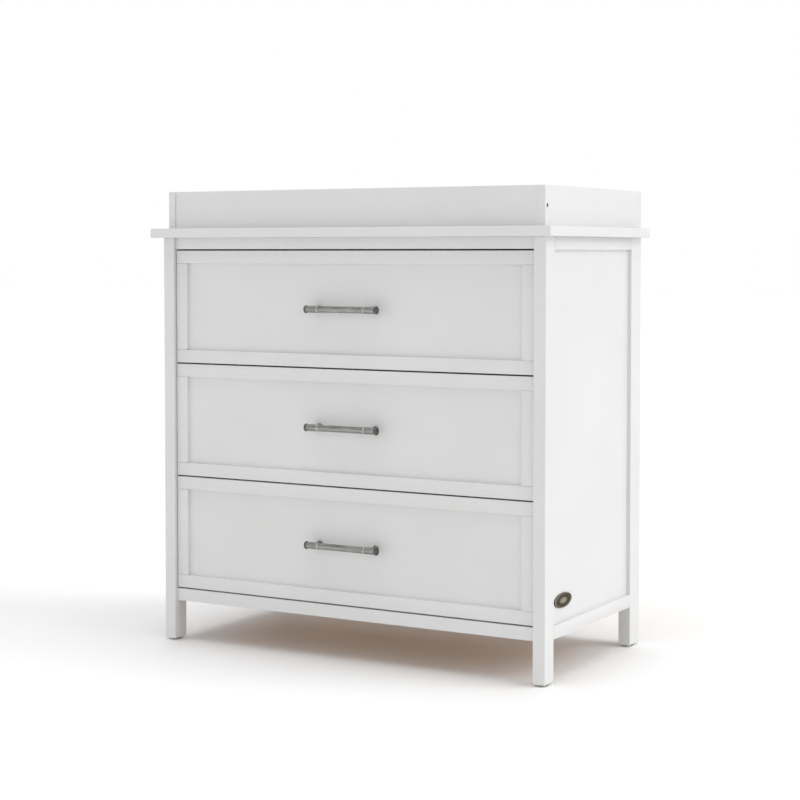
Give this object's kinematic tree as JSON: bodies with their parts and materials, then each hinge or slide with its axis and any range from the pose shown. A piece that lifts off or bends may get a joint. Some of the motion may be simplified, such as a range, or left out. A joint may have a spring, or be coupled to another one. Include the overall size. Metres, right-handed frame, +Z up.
{
  "type": "changing table",
  "caption": "White painted dresser on four legs with framed drawer fronts, bar pulls and a lift-off changing tray on top.",
  "frame": {"origin": "on the floor, under the middle of the whole object", "axes": "+X towards the right as seen by a person facing the drawers, -Y the way the drawers open, +Z up"},
  "size_m": [0.902, 0.484, 0.922],
  "materials": {
    "white_paint": "satin",
    "birch_board": "matte",
    "pewter_pulls": "brushed",
    "slide_steel": "satin",
    "screw_steel": "satin",
    "bronze_badge": "aged",
    "dark_glides": "matte"
  },
  "bodies": {
    "cabinet": {"back_panel": "birch_board", "drawer_bottom_left_slide": "slide_steel", "drawer_bottom_right_slide": "slide_steel", "drawer_middle_left_slide": "slide_steel", "drawer_middle_right_slide": "slide_steel", "drawer_top_left_slide": "slide_steel", "drawer_top_right_slide": "slide_steel", "front_bottom_rail": "white_paint", "front_left_foot": "dark_glides", "front_left_leg": "white_paint", "front_right_foot": "dark_glides", "front_right_leg": "white_paint", "front_top_rail": "white_paint", "left_side_bottom_rail": "white_paint", "left_side_panel": "white_paint", "left_side_top_rail": "white_paint", "rear_bottom_rail": "white_paint", "rear_left_foot": "dark_glides", "rear_left_leg": "white_paint", "rear_right_foot": "dark_glides", "rear_right_leg": "white_paint", "rear_top_rail": "white_paint", "right_side_bottom_rail": "white_paint", "right_side_panel": "white_paint", "right_side_top_rail": "white_paint", "side_badge": "bronze_badge", "top_board": "white_paint"},
    "drawer_top": {"drawer_top_back": "birch_board", "drawer_top_bottom": "birch_board", "drawer_top_frame": "white_paint", "drawer_top_left_runner": "slide_steel", "drawer_top_left_side": "birch_board", "drawer_top_panel": "white_paint", "drawer_top_pull": "pewter_pulls", "drawer_top_right_runner": "slide_steel", "drawer_top_right_side": "birch_board"},
    "drawer_middle": {"drawer_middle_back": "birch_board", "drawer_middle_bottom": "birch_board", "drawer_middle_frame": "white_paint", "drawer_middle_left_runner": "slide_steel", "drawer_middle_left_side": "birch_board", "drawer_middle_panel": "white_paint", "drawer_middle_pull": "pewter_pulls", "drawer_middle_right_runner": "slide_steel", "drawer_middle_right_side": "birch_board"},
    "drawer_bottom": {"drawer_bottom_back": "birch_board", "drawer_bottom_bottom": "birch_board", "drawer_bottom_frame": "white_paint", "drawer_bottom_left_runner": "slide_steel", "drawer_bottom_left_side": "birch_board", "drawer_bottom_panel": "white_paint", "drawer_bottom_pull": "pewter_pulls", "drawer_bottom_right_runner": "slide_steel", "drawer_bottom_right_side": "birch_board"},
    "topper": {"topper_back": "white_paint", "topper_front": "white_paint", "topper_left": "white_paint", "topper_left_screw": "screw_steel", "topper_right": "white_paint", "topper_right_screw": "screw_steel"}
  },
  "joints": [
    {"name": "drawer_top_open", "type": "slide", "parent": "cabinet", "child": "drawer_top", "axis": [0, -1, 0], "range_m": [0, 0.3]},
    {"name": "drawer_middle_open", "type": "slide", "parent": "cabinet", "child": "drawer_middle", "axis": [0, -1, 0], "range_m": [0, 0.3]},
    {"name": "drawer_bottom_open", "type": "slide", "parent": "cabinet", "child": "drawer_bottom", "axis": [0, -1, 0], "range_m": [0, 0.3]},
    {"name": "topper_lift", "type": "slide", "parent": "cabinet", "child": "topper", "axis": [0, 0, 1], "range_m": [0, 0.15]}
  ]
}
